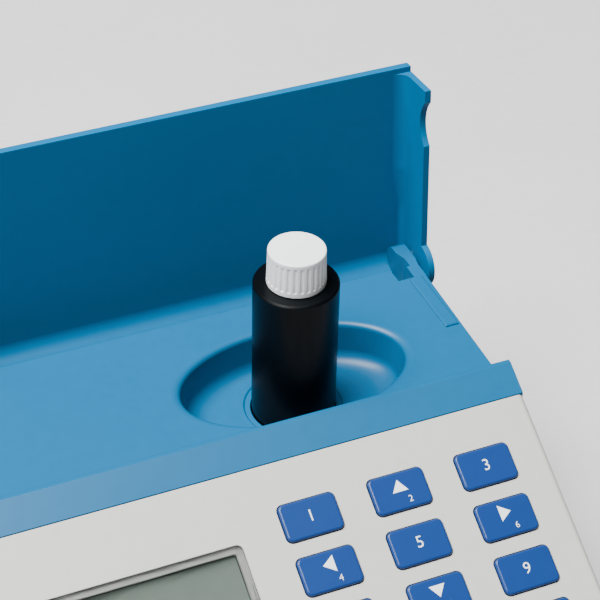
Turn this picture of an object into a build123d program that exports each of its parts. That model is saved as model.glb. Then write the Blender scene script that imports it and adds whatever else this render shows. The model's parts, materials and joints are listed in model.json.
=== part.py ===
from build123d import *
import math
import os

# Bench photometer with a hinged lid, in millimetres, +Z up, +Y to the back.
# The origin is on the table, under the middle of the instrument. The lid is modelled open.

# Outer case
WIDTH = 177.0
FRONT_Y = -103.0
BACK_Y = 101.0
FOOT_H = 3.0
PARTING_Z = 10.0
WALL = 2.5
NOSE_Z = 23.0
CORNER_R = 5.0
SHELF_Z = 72.0
SHOULDER_Z = 78.5
EDGE_R = 2.0
TRAY_CHAMFER = 1.2
SEAT_GAP = 0.3

# Sloping panel, measured down the slope (v) from the top edge of the facet
SLOPE_DEG = 30.0
FACET_TOP_Y = 20.3
FACET_TOP_Z = 94.0
FACET_LEN = 10.26
PANEL_T = 3.0
SEAM_GAP = 0.25

# Deck
DECK_Z = 93.0
LIP_W = 1.3
DECK_BACK_Y = 75.9
DECK_INSET_FRONT = 5.2
DECK_INSET_BACK = 3.7
BACK_EDGE_R = 0.8
STRIP_INSET = 10.0
STRIP_W = 4.5
STRIP_FRONT_Y = 43.3
STRIP_H = 0.7
STRIP_CHAMFER = 0.4
LEDGE_W = 14.0
LEDGE_T = 2.5
POST_R = 3.5
DECK_SCREW_INSET = 11.5
DECK_SCREW_FRONT = 5.7
DECK_SCREW_BACK = 15.9

# Small screws, and how far their holes go past their tips and round their shanks
SCREW_R = 1.3
SCREW_HEAD_R = 2.6
SCREW_HEAD_T = 1.6
SCREW_TIP = 1.0
SCREW_PASS = 0.3
PANEL_SCREW_LEN = 5.0
DECK_SCREW_LEN = 9.5
BOARD_SCREW_LEN = 6.0
OPTICS_SCREW_LEN = 50.0

# Cuvette recess, centred on the measuring bore
BORE_X = 27.5
BORE_Y = 41.0
RECESS_RX = 35.3
RECESS_RY = 20.6
RECESS_DEPTH = 12.5
RECESS_DRAFT = 1.6
RECESS_FOOT_R = 4.0
RECESS_RIM_R = 1.6
MOUTH_RING_R = 15.0
MOUTH_RING_DEPTH = 0.5

# Vial adapter and vial
ADAPTER_R = 12.5
ADAPTER_TOP_Z = 127.0
ADAPTER_BOTTOM_Z = 34.0
ADAPTER_FLOOR = 4.0
ADAPTER_CHAMFER = 0.5
MOUTH_CLEARANCE = 0.4
RUN_CLEARANCE = 0.08
VIAL_R = 8.0
VIAL_WALL = 1.0
VIAL_FOOT_R = 3.0
VIAL_FLOOR_T = 1.5
VIAL_CLEARANCE = 0.1
SHOULDER_RISE = 1.0
NECK_R = 6.6
NECK_BORE_R = 5.4
NECK_Z = 127.2
MOUTH_Z = 136.0
LINER_T = 1.2
CAP_R_TOP = 8.38
CAP_R_BOTTOM = 8.66
LINER_CLEARANCE = 0.1
THREAD_CLEARANCE = 0.1
CAP_TOP_T = 1.2
CAP_LIFT_OFF_RIM = 0.3
CAP_EDGE_R = 0.5
CAP_FLUTES = 28
CAP_COLLAR = 1.5
CAP_PLAIN_TOP = 1.4
FLUTE_R = 0.8
FLUTE_DEPTH = 0.3

# Optics
BLOCK_R = 30.0
BLOCK_BOTTOM_Z = 26.0
BLOCK_TOP_Z = 70.0
BLOCK_CHAMFER = 1.0
BEAM_Z = 52.0
RING_H = 12.0
CHANNELS = 5
BEAM_R = 2.6
BEAM_WINDOW_R = 2.0
OPTIC_CLEARANCE = 0.05
LED_SIDE_DEG = 18.0
LENS_T = 2.0
LENS_SETBACK = 0.6
FILTER_T = 1.5
FILTER_SPACE = 1.0
LED_LEN = 6.0
LED_NOSE_R = 2.3
LED_SPACE = 0.5
DETECTOR_T = 3.0
DETECTOR_SETBACK = 1.5
PILLAR_REACH = 24.0
PILLAR_R = 4.0
OPTICS_HEAD_SINK = 2.0
SEAL_W = 4.0

# Lid, drawn closed and then opened about the pivot
PIVOT_Y = 85.3
PIVOT_Z = 89.0
LID_OPEN_DEG = 94.7
LID_REACH = 65.0
LID_INNER = 5.0
LID_T = 4.0
SKIRT_T = 2.0
SKIRT_DEPTH = 14.0
SKIRT_FRONT_GAP = 0.4
EAR_R = 6.5
EAR_TIP_R = 7.3
EAR_TIP_Y = -1.5
EAR_TIP_Z = -7.7
NOTCH_R = 10.9
NOTCH_Y = -51.8
NOTCH_DEPTH = 3.0
COVE_R = 4.0
ARM_COVE_R = 1.8
COVE_FADE = 14.0
LID_EDGE_R = 1.8
PIN_R = 1.75
PIN_CLEARANCE = 0.05
ARM_INSET = 7.7
ARM_R = 4.0
ARM_GAP = 0.4
ARM_ROOT = 7.0
ARM_FLARE = 6.0
ARM_WAIST = 1.3
PIN_SKIN = 1.4
POCKET_W = 5.5
POCKET_LEN = 6.4
POCKET_DEPTH = 9.0

# Keys, in three columns and four rows, with three function keys under the display
KEY_W = 17.3
KEY_H = 11.1
KEY_R = 1.7
KEY_PROUD = 1.0
KEY_GAP = 0.3
KEY_FLANGE = 1.0
KEY_FLANGE_T = 1.0
KEY_TRAVEL = 1.0
KEY_EDGE_R = 0.7
KEY_COLUMN_INSET = 47.5
KEY_PITCH_X = 27.6
KEY_ROW_V = 28.45
KEY_PITCH_V = 16.0
KEY_COLUMNS = 3
KEY_ROWS = 4
FUNCTION_INSET = 45.5
FUNCTION_PITCH_X = 27.6
FUNCTION_V = 108.0
FUNCTION_KEYS = 3
DOME_R = 4.0
DOME_TOP_R = 3.0
DOME_H = 0.6
DOME_GAP = 0.2
MAT_T = 1.2
MAT_MARGIN = 2.4
BOARD_T = 1.6

# Display
DISPLAY_SIDE = 6.5
DISPLAY_SPACE = 6.35
DISPLAY_V = 56.0
WINDOW_BORDER = 4.0
WINDOW_H = 52.0
WINDOW_T = 1.5
WINDOW_SINK = 0.2
WINDOW_LEDGE = 2.0
WINDOW_FIT = 0.2
GASKET_T = 1.0
GLASS_T = 1.6
BACKLIGHT_T = 1.4
DISPLAY_BOARD_H = 64.0
DISPLAY_HOLE_INSET = 3.0

# Boards, ports and power inside
MAIN_BOARD_SIDE = 14.5
MAIN_BOARD_SPACE = 7.5
MAIN_BOARD_FRONT_Y = -62.0
MAIN_BOARD_BACK_Y = 96.0
MAIN_BOARD_Z = 13.0
BOARD_HOLE_INSET = 5.0
BOARD_POST_R = 3.0
CHIP_H = 1.4
CHIPS = ((-16.0, -7.0, 14.0, 14.0), (8.0, 3.0, 10.0, 10.0), (-8.0, 28.0, 8.0, 12.0), (8.0, -37.0, 12.0, 6.0))
USB_W = 14.5
USB_H = 7.0
USB_LEN = 14.0
USB_SKIN = 0.5
USB_TONGUE_W = 11.0
USB_TONGUE_T = 1.8
USB_TONGUE_SINK = 1.5
USB_TONGUE_RISE = 1.0
MICRO_PITCH = 10.0
MICRO_W = 8.0
MICRO_H = 3.0
MICRO_LEN = 6.0
MICRO_SKIN = 0.4
MICRO_TONGUE_W = 4.0
MICRO_TONGUE_T = 0.6
MICRO_TONGUE_SINK = 1.0
SOCKET_END_T = 2.0
JACK_SIDE = 14.0
JACK_BORE_R = 1.8
JACK_R = 3.5
JACK_LEN = 14.0
JACK_Z = 19.5
PORT_GAP = 0.3
SWITCH_INSET = 26.5
SWITCH_Z = 30.0
SWITCH_R = 6.0
SWITCH_PROUD = 2.0
SWITCH_TRAVEL = 1.5
SWITCH_EDGE_R = 0.8
SWITCH_FLANGE_W = 1.5
SWITCH_FLANGE_T = 1.5
SWITCH_BODY_W = 10.0
SWITCH_BODY_D = 6.0
SWITCH_BOARD_W = 24.0
SWITCH_BOARD_RISE = 9.0
BATTERY_W = 60.0
BATTERY_D = 36.0
BATTERY_H = 9.0
BATTERY_SIDE = 8.5
BATTERY_Y = -50.0
BATTERY_CORNER_R = 2.0
BATTERY_EDGE_R = 1.5
PAD_T = 0.8
SOUNDER_R = 7.0
SOUNDER_H = 4.0
SOUNDER_HOLE_R = 1.2
SOUNDER_X = -18.0
SOUNDER_Y = -40.0
FLEX_T = 0.4
FLEX_W = 14.0
FLEX_LAP = 8.0
RIBBON_W = 10.0
RIBBON_LAP = 12.0
RIBBON_BEND_R = 2.0
FOOT_R = 7.5
FOOT_INSET = 20.0
FOOT_CHAMFER = 0.6
CASE_SCREW_INSET = 9.0
BOSS_R = 4.5
CASE_SCREW_R = 1.5
CASE_SCREW_LEN = 12.5
CASE_HEAD_R = 3.0
CASE_HEAD_T = 2.0
CASE_HEAD_SINK = 0.5

# Sizes worked out from the ones above
HALF_W = WIDTH / 2
DECK_HALF_FRONT = HALF_W - DECK_INSET_FRONT
DECK_HALF_BACK = HALF_W - DECK_INSET_BACK
STRIP_X = HALF_W - STRIP_INSET
ARM_X = HALF_W - ARM_INSET
KEY_COLUMN_X = HALF_W - KEY_COLUMN_INSET
KEYPAD_LEFT = KEY_COLUMN_X - (KEY_COLUMNS - 1) / 2 * KEY_PITCH_X - KEY_W / 2 - MAT_MARGIN
FUNCTION_X = FUNCTION_INSET - HALF_W
DISPLAY_BOARD_W = KEYPAD_LEFT - DISPLAY_SPACE - DISPLAY_SIDE + HALF_W
DISPLAY_X = DISPLAY_SIDE + DISPLAY_BOARD_W / 2 - HALF_W
WINDOW_W = DISPLAY_BOARD_W - 2 * WINDOW_BORDER
MAIN_BOARD_W = BORE_X - BLOCK_R - MAIN_BOARD_SPACE - MAIN_BOARD_SIDE + HALF_W
MAIN_BOARD_X = MAIN_BOARD_SIDE + MAIN_BOARD_W / 2 - HALF_W
JACK_X = MAIN_BOARD_SIDE + JACK_SIDE - HALF_W
MICRO_X = JACK_X + MICRO_PITCH
USB_X = (MICRO_X + MAIN_BOARD_X + MAIN_BOARD_W / 2) / 2
SWITCH_X = HALF_W - SWITCH_INSET
BATTERY_X = HALF_W - BATTERY_SIDE - BATTERY_W / 2
MIDDLE_Y = (FRONT_Y + BACK_Y) / 2
DEPTH = BACK_Y - FRONT_Y
TAN = math.tan(math.radians(SLOPE_DEG))
COS = math.cos(math.radians(SLOPE_DEG))
SIN = math.sin(math.radians(SLOPE_DEG))
LIP_BACK_Y = FACET_TOP_Y + LIP_W
SEAM_Y = FACET_TOP_Y - FACET_LEN * COS
FLOOR_TOP = FOOT_H + WALL
CASE_SCREW_SEAT = FOOT_H + CASE_HEAD_T + CASE_HEAD_SINK
DECK_SCREW_SEAT = SHOULDER_Z - LEDGE_T
OPTICS_SCREW_SEAT = BLOCK_TOP_Z - OPTICS_HEAD_SINK
RING_LOW_Z = BEAM_Z - RING_H / 2
RING_HIGH_Z = BEAM_Z + RING_H / 2
PILLAR_ANGLE = math.radians(2 * LED_SIDE_DEG)
RECESS_FLOOR_Z = DECK_Z - RECESS_DEPTH
BORE_R = ADAPTER_R + RUN_CLEARANCE
LENS_START = BORE_R + LENS_SETBACK
FILTER_START = LENS_START + LENS_T + FILTER_SPACE
LED_START = FILTER_START + FILTER_T + LED_SPACE
DETECTOR_START = BLOCK_R - DETECTOR_T - DETECTOR_SETBACK
DETECTOR_SIDE_DEG = LED_SIDE_DEG + 180.0
SKIRT_INNER = HALF_W - SKIRT_T
MOUTH_R = ADAPTER_R + MOUTH_CLEARANCE
FLANGE_TOP = PANEL_T + SEAT_GAP
FLANGE_BOTTOM = FLANGE_TOP + KEY_FLANGE_T
DOME_TOP = FLANGE_BOTTOM + KEY_TRAVEL + DOME_GAP
MAT_TOP = DOME_TOP + DOME_H
BOARD_TOP = MAT_TOP + MAT_T
GLASS_TOP = PANEL_T + GASKET_T
LIGHT_TOP = GLASS_TOP + GLASS_T
DISPLAY_BOARD_TOP = LIGHT_TOP + BACKLIGHT_T
BOTTOM = (Align.CENTER, Align.CENTER, Align.MIN)
TONGUE_ALIGN = (Align.CENTER, Align.MIN, Align.CENTER)
SLOPE = Plane(origin=(0, FACET_TOP_Y, FACET_TOP_Z), x_dir=(1, 0, 0), z_dir=(0, -SIN, COS))
BORE = Pos(BORE_X, BORE_Y, 0)


def slope_z(y):
    """Height of the sloping face at a place from front to back."""
    return FACET_TOP_Z - (FACET_TOP_Y - y) * TAN


def prism_x(points, low_x, high_x):
    """Outline in Y and Z, carried from one X to another."""
    face = make_face(Polyline(*points, close=True))
    return Pos(low_x, 0, 0) * extrude(Plane.YZ * face, amount=high_x - low_x)


def slab(u, v, w, h, top, bottom, r=0.0):
    """Plate on the slope, between two depths below its outer face."""
    face = RectangleRounded(w, h, r) if r else Rectangle(w, h)
    return SLOPE * Pos(u, -v, -bottom) * extrude(face, amount=bottom - top)


def stud(u, v, r, top, bottom):
    """Round post square to the slope, between two depths."""
    return SLOPE * Pos(u, -v, -bottom) * Cylinder(r, bottom - top, align=BOTTOM)


def upright(x, y, r, low, high):
    """Round post along Z."""
    return Pos(x, y, low) * Cylinder(r, high - low, align=BOTTOM)


def block(x0, x1, y0, y1, z0, z1):
    """Block between six faces."""
    return Pos(x0, y0, z0) * Box(x1 - x0, y1 - y0, z1 - z0, align=(Align.MIN,) * 3)


def joined(pieces):
    """One part from many, touching or apart."""
    pieces = list(pieces)
    return pieces[0] + pieces[1:] if len(pieces) > 1 else pieces[0]


def corners(dx, dy, cx=0.0, cy=0.0):
    """Four places round a centre."""
    return [(cx + sx * dx, cy + sy * dy) for sx in (-1, 1) for sy in (-1, 1)]


# Places that several pieces share
KEY_PLACES = [
    (KEY_COLUMN_X + (c - (KEY_COLUMNS - 1) / 2) * KEY_PITCH_X, KEY_ROW_V + r * KEY_PITCH_V)
    for r in range(KEY_ROWS)
    for c in range(KEY_COLUMNS)
]
FUNCTION_PLACES = [
    (FUNCTION_X + (c - (FUNCTION_KEYS - 1) / 2) * FUNCTION_PITCH_X, FUNCTION_V)
    for c in range(FUNCTION_KEYS)
]
CASE_SCREWS = corners(HALF_W - CASE_SCREW_INSET, DEPTH / 2 - CASE_SCREW_INSET, 0, MIDDLE_Y)
DECK_SCREWS = [
    (side * (HALF_W - DECK_SCREW_INSET), y)
    for side in (-1, 1)
    for y in (FACET_TOP_Y + DECK_SCREW_FRONT, DECK_BACK_Y - DECK_SCREW_BACK)
]
MAIN_BOARD_Y = (MAIN_BOARD_FRONT_Y + MAIN_BOARD_BACK_Y) / 2
MAIN_BOARD_D = MAIN_BOARD_BACK_Y - MAIN_BOARD_FRONT_Y
MAIN_SCREWS = corners(
    MAIN_BOARD_W / 2 - BOARD_HOLE_INSET, MAIN_BOARD_D / 2 - BOARD_HOLE_INSET, MAIN_BOARD_X, MAIN_BOARD_Y
)
PILLARS = corners(
    PILLAR_REACH * math.cos(PILLAR_ANGLE), PILLAR_REACH * math.sin(PILLAR_ANGLE), BORE_X, BORE_Y
)
DISPLAY_SCREWS = corners(
    DISPLAY_BOARD_W / 2 - DISPLAY_HOLE_INSET, DISPLAY_BOARD_H / 2 - DISPLAY_HOLE_INSET, DISPLAY_X, DISPLAY_V
)


# Keypad outline: the block of direct keys and the strip of function keys
def keypad_plate(margin, top, bottom):
    """L-shaped sheet under all the keys."""
    left = KEY_PLACES[0][0] - KEY_W / 2 - margin
    right = KEY_PLACES[-1][0] + KEY_W / 2 + margin
    high = KEY_ROW_V - KEY_H / 2 - margin
    low = FUNCTION_V + KEY_H / 2 + margin
    far_left = FUNCTION_PLACES[0][0] - KEY_W / 2 - margin
    strip_top = FUNCTION_V - KEY_H / 2 - margin
    tall = slab((left + right) / 2, (high + low) / 2, right - left, low - high, top, bottom)
    strip = slab(
        (far_left + right) / 2, (strip_top + low) / 2, right - far_left, low - strip_top, top, bottom
    )
    return tall + strip


KEYPAD_SCREWS = [
    (KEY_COLUMN_X + side * KEY_PITCH_X / 2, KEY_ROW_V + row * KEY_PITCH_V)
    for side in (-1, 1)
    for row in (0.5, KEY_ROWS - 1.5)
] + [(FUNCTION_X + side * FUNCTION_PITCH_X / 2, FUNCTION_V) for side in (-1, 1)]


def case_profile(inset, panel_t, bottom_z, drop):
    """Side outline of the upper housing, or of the space in it."""
    rise = panel_t / COS
    front = FRONT_Y + inset
    back = BACK_Y - inset
    seam = SEAM_Y - inset
    step = DECK_BACK_Y - inset
    nose = NOSE_Z if not inset else slope_z(front) - rise
    return [
        (front, bottom_z),
        (front, nose),
        (seam, slope_z(seam) - rise),
        (seam, SHOULDER_Z - drop),
        (step, SHOULDER_Z - drop),
        (step, SHELF_Z - drop),
        (back, SHELF_Z - drop),
        (back, bottom_z),
    ]


def on_top_outline(edge):
    """Whether an edge runs along the sides of the slope, the nose or the back of the shelf."""
    at = edge.center()
    side = abs(abs(at.X) - HALF_W) < 0.01 and NOSE_Z < at.Z and at.Y < SEAM_Y - 1
    nose = at.Y < FRONT_Y + 2 * CORNER_R and NOSE_Z - 1 < at.Z < NOSE_Z + CORNER_R
    back = at.Y > BACK_Y - CORNER_R and abs(at.Z - SHELF_Z) < 0.01
    return side or nose or back


def upper_housing():
    """Grey shell: sloping panel, sides, back and the ledge that carries the deck."""
    shell = prism_x(case_profile(0.0, 0.0, PARTING_Z, 0.0), -HALF_W, HALF_W)
    uprights = shell.edges().filter_by(Axis.Z)
    shell = fillet(uprights.filter_by(lambda e: abs(e.center().Y - MIDDLE_Y) > DEPTH / 2 - 1), CORNER_R)
    shell = fillet(shell.edges().filter_by(on_top_outline), EDGE_R)
    inside = prism_x(case_profile(WALL, PANEL_T, PARTING_Z - 1, LEDGE_T), -HALF_W + WALL, HALF_W - WALL)
    shell -= inside
    shell -= block(
        -HALF_W + LEDGE_W, HALF_W - LEDGE_W, SEAM_Y + WALL, DECK_BACK_Y - 2 * WALL, SHELF_Z, SHOULDER_Z + 1
    )
    # Corner posts for the case screws
    for x, y in CASE_SCREWS:
        top = slope_z(y - BOSS_R) - 1.0 if y < 0 else SHELF_Z - 1.0
        shell += upright(x, y, BOSS_R, PARTING_Z, top)
        shell -= upright(x, y, CASE_SCREW_R, PARTING_Z - 1, CASE_SCREW_SEAT + CASE_SCREW_LEN + SCREW_TIP)
    # Posts under the panel for the display board and the keypad board
    for u, v in DISPLAY_SCREWS:
        shell += stud(u, v, BOARD_POST_R, PANEL_T - 0.5, DISPLAY_BOARD_TOP)
        shell -= stud(u, v, SCREW_R, PANEL_T + 0.5, DISPLAY_BOARD_TOP + 1)
    for u, v in KEYPAD_SCREWS:
        shell += stud(u, v, BOARD_POST_R, PANEL_T - 0.5, BOARD_TOP)
        shell -= stud(u, v, SCREW_R, PANEL_T + 0.5, BOARD_TOP + 1)
    # Display opening with a sunk ledge for the window
    shell -= slab(DISPLAY_X, DISPLAY_V, WINDOW_W, WINDOW_H, -1, WINDOW_SINK + WINDOW_T, 2.0)
    shell -= slab(
        DISPLAY_X, DISPLAY_V, WINDOW_W - 2 * WINDOW_LEDGE, WINDOW_H - 2 * WINDOW_LEDGE, 0, PANEL_T + 1, 1.0
    )
    # Key openings
    for u, v in KEY_PLACES + FUNCTION_PLACES:
        shell -= slab(
            u, v, KEY_W + 2 * KEY_GAP, KEY_H + 2 * KEY_GAP, -1, PANEL_T + 1, KEY_R + KEY_GAP
        )
    # Screw holes for the deck, through the ledge
    for x, y in DECK_SCREWS:
        shell -= upright(x, y, SCREW_R + SCREW_PASS, SHELF_Z, SHOULDER_Z + 1)
    # Openings in the back wall
    wall_in = BACK_Y - WALL - 1
    wall_out = BACK_Y + 1
    usb_low = MAIN_BOARD_Z + BOARD_T
    shell -= block(
        USB_X - USB_W / 2 - PORT_GAP, USB_X + USB_W / 2 + PORT_GAP, wall_in, wall_out,
        usb_low - PORT_GAP, usb_low + USB_H + PORT_GAP,
    )
    shell -= block(
        MICRO_X - MICRO_W / 2 - PORT_GAP, MICRO_X + MICRO_W / 2 + PORT_GAP, wall_in, wall_out,
        usb_low - PORT_GAP, usb_low + MICRO_H + PORT_GAP,
    )
    along_y = Rot(-90, 0, 0)
    shell -= Pos(JACK_X, wall_in, JACK_Z) * along_y * Cylinder(JACK_R + PORT_GAP, WALL + 2, align=BOTTOM)
    bore = Cylinder(SWITCH_R + PORT_GAP, WALL + 2, align=BOTTOM)
    shell -= Pos(SWITCH_X, wall_in, SWITCH_Z) * along_y * bore
    return shell


def bottom_housing():
    """Grey tray with the bosses for the screws and boards."""
    plan = Pos(0, MIDDLE_Y, FOOT_H) * RectangleRounded(WIDTH, DEPTH, CORNER_R)
    tray = extrude(plan, amount=PARTING_Z - FOOT_H)
    tray = chamfer(tray.faces().sort_by(Axis.Z)[0].edges(), TRAY_CHAMFER)
    room = RectangleRounded(WIDTH - 2 * WALL, DEPTH - 2 * WALL, CORNER_R - WALL)
    tray -= Pos(0, MIDDLE_Y, FLOOR_TOP) * extrude(room, amount=PARTING_Z)
    for x, y in CASE_SCREWS:
        tray += upright(x, y, BOSS_R, FOOT_H, PARTING_Z)
        tray -= upright(x, y, CASE_SCREW_R + SCREW_PASS, FOOT_H - 1, PARTING_Z + 1)
        tray -= upright(x, y, CASE_HEAD_R + SCREW_PASS, FOOT_H - 1, CASE_SCREW_SEAT)
    for x, y in MAIN_SCREWS:
        tray += upright(x, y, BOARD_POST_R, FLOOR_TOP - WALL / 2, MAIN_BOARD_Z)
        low = MAIN_BOARD_Z + BOARD_T - BOARD_SCREW_LEN - SCREW_TIP
        tray -= upright(x, y, SCREW_R, low, MAIN_BOARD_Z + 1)
    for x, y in PILLARS:
        tray += upright(x, y, PILLAR_R, FLOOR_TOP - WALL / 2, BLOCK_BOTTOM_Z)
        tray -= upright(x, y, SCREW_R, OPTICS_SCREW_SEAT - OPTICS_SCREW_LEN - SCREW_TIP, BLOCK_BOTTOM_Z + 1)
    return tray


def oval_from(outline):
    """Turn a half outline about the bore's axis and stretch it along X to the recess's oval."""
    turned = revolve(Plane.XZ * outline, Axis.Z)
    return BORE * scale(turned, by=(RECESS_RX / RECESS_RY, 1, 1))


def recess_space():
    """Space of the recess, with its rounded rim and foot, cut straight behind the lip."""
    reach = RECESS_RY + 2 * RECESS_RIM_R
    outline = make_face(
        Polyline(
            (0, RECESS_FLOOR_Z), (RECESS_RY - RECESS_DRAFT, RECESS_FLOOR_Z), (RECESS_RY, DECK_Z),
            (reach, DECK_Z), (reach, DECK_Z + 1), (0, DECK_Z + 1), close=True,
        )
    )
    foot = outline.vertices().filter_by(lambda p: p.X > 1 and abs(p.Y - RECESS_FLOOR_Z) < 0.01)
    outline = fillet(foot, RECESS_FOOT_R)
    rim = outline.vertices().filter_by(
        lambda p: abs(p.X - RECESS_RY) < 0.01 and abs(p.Y - DECK_Z) < 0.01
    )
    outline = fillet(rim, RECESS_RIM_R)
    return oval_from(outline) & block(-HALF_W, HALF_W, LIP_BACK_Y, BACK_Y, 0, DECK_Z + 1)


def recess_shell():
    """Wall and floor under the recess, before its space is cut."""
    low = RECESS_FLOOR_Z - WALL
    outline = make_face(
        Polyline(
            (0, low), (RECESS_RY - RECESS_DRAFT + WALL, low), (RECESS_RY + WALL, DECK_Z - WALL / 2),
            (0, DECK_Z - WALL / 2), close=True,
        )
    )
    return oval_from(outline) & block(-HALF_W, HALF_W, LIP_BACK_Y - WALL, BACK_Y, 0, DECK_Z)


def hinge_arm(side):
    """Arm behind the deck that carries one hinge pin."""
    reach = PIVOT_Y + ARM_R
    root_y = DECK_BACK_Y - ARM_ROOT
    side_view = make_face(
        Polyline(
            (root_y, DECK_Z), (PIVOT_Y, DECK_Z), (PIVOT_Y, PIVOT_Z - ARM_R),
            (DECK_BACK_Y, SHOULDER_Z), (root_y, SHOULDER_Z), close=True,
        )
    )
    side_view += Pos(PIVOT_Y, PIVOT_Z) * Circle(ARM_R)
    arm = Pos(ARM_X - 1, 0, 0) * extrude(Plane.YZ * side_view, amount=SKIRT_INNER - ARM_X)
    outer = SKIRT_INNER - ARM_GAP
    plan = make_face(
        Polyline(
            (ARM_X, root_y), (ARM_X + ARM_WAIST, DECK_BACK_Y), (ARM_X + ARM_WAIST, PIVOT_Y - ARM_FLARE),
            (ARM_X, PIVOT_Y - ARM_R / 2), (ARM_X, reach), (outer, reach), (outer, DECK_BACK_Y + ARM_FLARE),
            (DECK_HALF_BACK, DECK_BACK_Y - 1), (DECK_HALF_BACK, root_y), close=True,
        )
    )
    arm &= extrude(plan, amount=2 * DECK_Z)
    across = Pos(ARM_X + PIN_SKIN, PIVOT_Y, PIVOT_Z) * Rot(0, 90, 0)
    arm -= across * Cylinder(PIN_R + PIN_CLEARANCE, 2 * SKIRT_DEPTH, align=BOTTOM)
    return arm if side > 0 else mirror(arm, about=Plane.YZ)


def deck():
    """Blue top moulding: facet, lip, oval recess, side strips, hinge arms and pockets."""
    front_y = SEAM_Y + SEAM_GAP
    facet_end = prism_x(
        [
            (front_y, SHOULDER_Z), (front_y, slope_z(front_y)), (FACET_TOP_Y, FACET_TOP_Z),
            (LIP_BACK_Y, FACET_TOP_Z), (LIP_BACK_Y, SHOULDER_Z),
        ],
        -HALF_W, HALF_W,
    )
    plan = make_face(
        Polyline(
            (-DECK_HALF_FRONT, LIP_BACK_Y - 1), (-DECK_HALF_BACK, DECK_BACK_Y),
            (DECK_HALF_BACK, DECK_BACK_Y), (DECK_HALF_FRONT, LIP_BACK_Y - 1), close=True,
        )
    )
    top = Pos(0, 0, SHOULDER_Z) * extrude(plan, amount=DECK_Z - SHOULDER_Z)
    back_edge = top.edges().filter_by(Axis.X).sort_by(lambda e: e.center().Y + e.center().Z)[-1]
    top = fillet(back_edge, BACK_EDGE_R)
    body = facet_end + top
    drop = WALL / COS
    ceiling = DECK_Z - WALL
    meet_y = FACET_TOP_Y - (FACET_TOP_Z - drop - ceiling) / TAN
    room_x = DECK_HALF_FRONT - WALL
    body -= prism_x(
        [
            (front_y + WALL, 0), (front_y + WALL, slope_z(front_y + WALL) - drop), (meet_y, ceiling),
            (DECK_BACK_Y - WALL, ceiling), (DECK_BACK_Y - WALL, 0),
        ],
        -room_x, room_x,
    )
    body += recess_shell()
    body -= recess_space()
    body -= upright(BORE_X, BORE_Y, MOUTH_R, 0, DECK_Z)
    ring = BORE * Pos(0, 0, RECESS_FLOOR_Z - MOUTH_RING_DEPTH) * Cone(
        MOUTH_RING_R - MOUTH_RING_DEPTH, MOUTH_RING_R + MOUTH_RING_DEPTH, 2 * MOUTH_RING_DEPTH, align=BOTTOM
    )
    body -= ring & block(-HALF_W, HALF_W, LIP_BACK_Y, BACK_Y, 0, DECK_Z)
    for side in (-1, 1):
        strip = block(
            STRIP_X, STRIP_X + STRIP_W, STRIP_FRONT_Y, DECK_BACK_Y - ARM_ROOT,
            DECK_Z - WALL / 2, DECK_Z + STRIP_H,
        )
        strip = chamfer(strip.faces().sort_by(Axis.Z)[-1].edges(), STRIP_CHAMFER)
        well = block(
            ARM_X - POCKET_W - WALL, ARM_X + 0.5, DECK_BACK_Y - POCKET_LEN - WALL, DECK_BACK_Y,
            DECK_Z - POCKET_DEPTH - WALL, DECK_Z - WALL / 2,
        )
        pocket = block(
            ARM_X - POCKET_W, ARM_X, DECK_BACK_Y - POCKET_LEN, DECK_BACK_Y + 1,
            DECK_Z - POCKET_DEPTH, DECK_Z + 2,
        )
        if side < 0:
            strip = mirror(strip, about=Plane.YZ)
            well = mirror(well, about=Plane.YZ)
            pocket = mirror(pocket, about=Plane.YZ)
        body += strip
        body += well
        body += hinge_arm(side)
        body -= pocket
    for x, y in DECK_SCREWS:
        body += upright(x, y, POST_R, SHOULDER_Z, DECK_Z - WALL / 2)
        body -= upright(x, y, SCREW_R, SHOULDER_Z - 1, DECK_SCREW_SEAT + DECK_SCREW_LEN + SCREW_TIP)
    return body


def opened(shape):
    """Turn a piece of the closed lid back about the pivot to where it stands open."""
    axis = Axis((0, PIVOT_Y, PIVOT_Z), (-1, 0, 0))
    return shape.rotate(axis, LID_OPEN_DEG)


def lid_skirt(side):
    """Side skirt with its hinge ear and finger notch, drawn closed."""
    inner_z = PIVOT_Z + LID_INNER
    front = LIP_BACK_Y + SKIRT_FRONT_GAP
    low = inner_z - SKIRT_DEPTH
    flat = make_face(
        Polyline((front, low), (PIVOT_Y, low), (PIVOT_Y, inner_z + 1), (front, inner_z + 1), close=True)
    )
    ear = make_hull(
        [
            *(Pos(PIVOT_Y, PIVOT_Z) * Circle(EAR_R)).edges(),
            *(Pos(PIVOT_Y + EAR_TIP_Y, PIVOT_Z + EAR_TIP_Z) * Circle(EAR_TIP_R)).edges(),
        ]
    )
    notch = Pos(PIVOT_Y + NOTCH_Y, low + NOTCH_DEPTH - NOTCH_R) * Circle(NOTCH_R)
    outline = flat + ear - notch
    skirt = Pos(SKIRT_INNER, 0, 0) * extrude(Plane.YZ * outline, amount=SKIRT_T)
    return skirt if side > 0 else mirror(skirt, about=Plane.YZ)


def cove_section(y, r):
    """Cross-section of the rounded inside corner of the lid, at a place from front to back."""
    inner_z = PIVOT_Z + LID_INNER
    square = Pos(SKIRT_INNER - r / 2, inner_z - r / 2) * Rectangle(r, r)
    corner = square - Pos(SKIRT_INNER - r, inner_z - r) * Circle(r)
    return Pos(0, y, 0) * (Plane.XZ * corner)


def lid_cove(side):
    """Rounded inside corner between the panel and a skirt, finer past the arm, drawn closed."""
    front = LIP_BACK_Y + SKIRT_FRONT_GAP
    arm_front = DECK_BACK_Y - ARM_ROOT
    wide_back = arm_front - COVE_FADE
    forward = (0, -1, 0)
    corner = extrude(cove_section(wide_back, COVE_R), amount=wide_back - front, dir=forward)
    corner += loft([cove_section(wide_back, COVE_R), cove_section(arm_front, ARM_COVE_R)])
    corner += extrude(cove_section(PIVOT_Y, ARM_COVE_R), amount=PIVOT_Y - arm_front, dir=forward)
    return corner if side > 0 else mirror(corner, about=Plane.YZ)


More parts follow.
